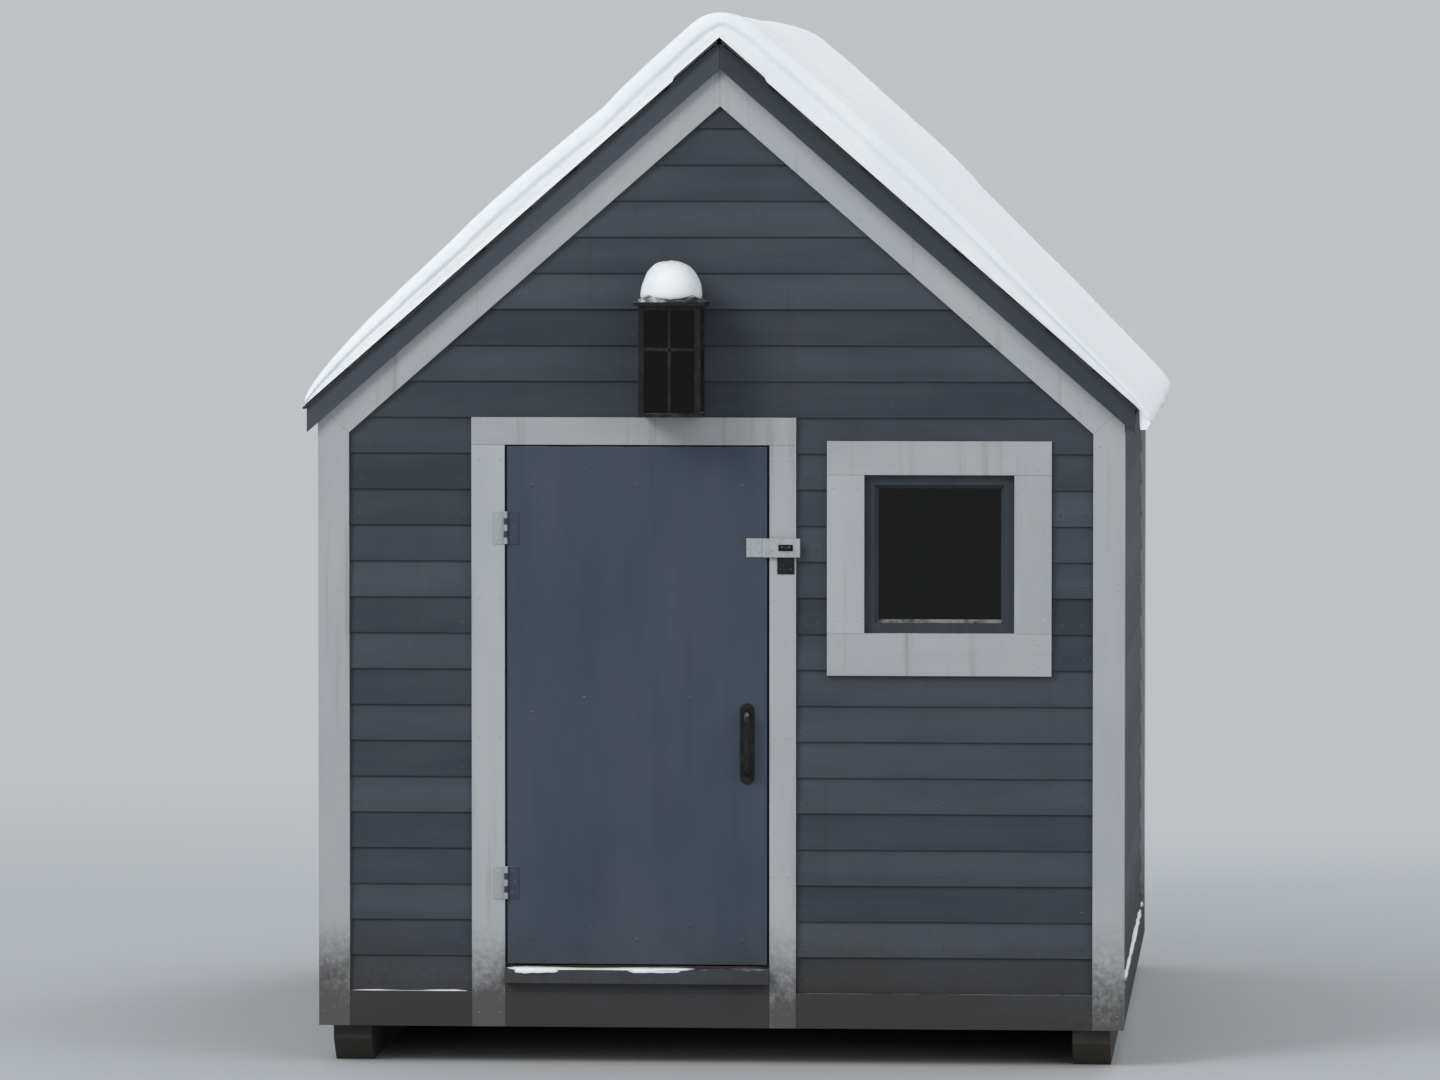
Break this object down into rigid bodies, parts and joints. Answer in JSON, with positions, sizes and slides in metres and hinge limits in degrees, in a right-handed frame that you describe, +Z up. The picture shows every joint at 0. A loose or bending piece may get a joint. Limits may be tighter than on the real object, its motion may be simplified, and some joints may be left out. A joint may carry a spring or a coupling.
{
  "type": "ice fishing hut",
  "caption": "Small timber ice fishing hut on skids, with lapped board walls, a steep snow-covered gable roof, a narrow hinged door, a square window and a wall lantern.",
  "frame": {"origin": "at ground level, under the middle of the hut without its snow; the snow reaches further out on the right, so the middle of the whole bounding box lies about 17 mm to the right", "axes": "+Z up, -Y out of the front wall with the door, +X to the right seen from the front; the ridge runs along Y"},
  "size_m": [2.0017, 2.688, 2.4696],
  "materials": {
    "skid_timber": "matte",
    "framing_timber": "matte",
    "plywood": "matte",
    "slate_paint": "satin",
    "door_paint": "satin",
    "light_paint": "satin",
    "roofing": "matte",
    "black_metal": "satin",
    "galvanised": "matte",
    "window_glass": "gloss",
    "lantern_glass": "gloss",
    "snow": "matte"
  },
  "bodies": {
    "root": {"skids": "skid_timber", "side_rims": "framing_timber", "floor_joists": "framing_timber", "end_wall_plates": "framing_timber", "side_wall_plates": "framing_timber", "end_studs": "framing_timber", "side_studs": "framing_timber", "window_framing": "framing_timber", "rafters": "framing_timber", "ridge_board": "framing_timber", "floor_deck": "plywood", "front_wall": "plywood", "front_gable": "plywood", "back_wall": "plywood", "left_wall": "plywood", "right_wall": "plywood", "roof_deck": "plywood", "front_siding": "slate_paint", "back_siding": "slate_paint", "left_siding": "slate_paint", "right_siding": "slate_paint", "rake_boards": "slate_paint", "eave_fascias": "slate_paint", "skirt_boards": "slate_paint", "window_sash": "slate_paint", "door_stops": "slate_paint", "door_sill": "slate_paint", "rake_trim": "light_paint", "corner_boards": "light_paint", "door_casing": "light_paint", "window_casing": "light_paint", "door_hinges": "light_paint", "shingles": "roofing", "ridge_cap": "roofing", "lantern": "black_metal", "hasp_staple": "black_metal", "window_glass": "window_glass", "lantern_glass": "lantern_glass", "roof_snow": "snow", "lantern_snow": "snow"},
    "door": {"door_panel": "door_paint", "door_ledges": "framing_timber", "door_hinge_leaves": "door_paint", "door_pull": "black_metal", "door_hasp": "galvanised"}
  },
  "joints": [
    {"name": "door_swing", "type": "hinge", "parent": "root", "child": "door", "pos_m": [-0.503, -1.189, 0.84], "axis": [0, 0, -1], "range_deg": [0, 170]}
  ]
}
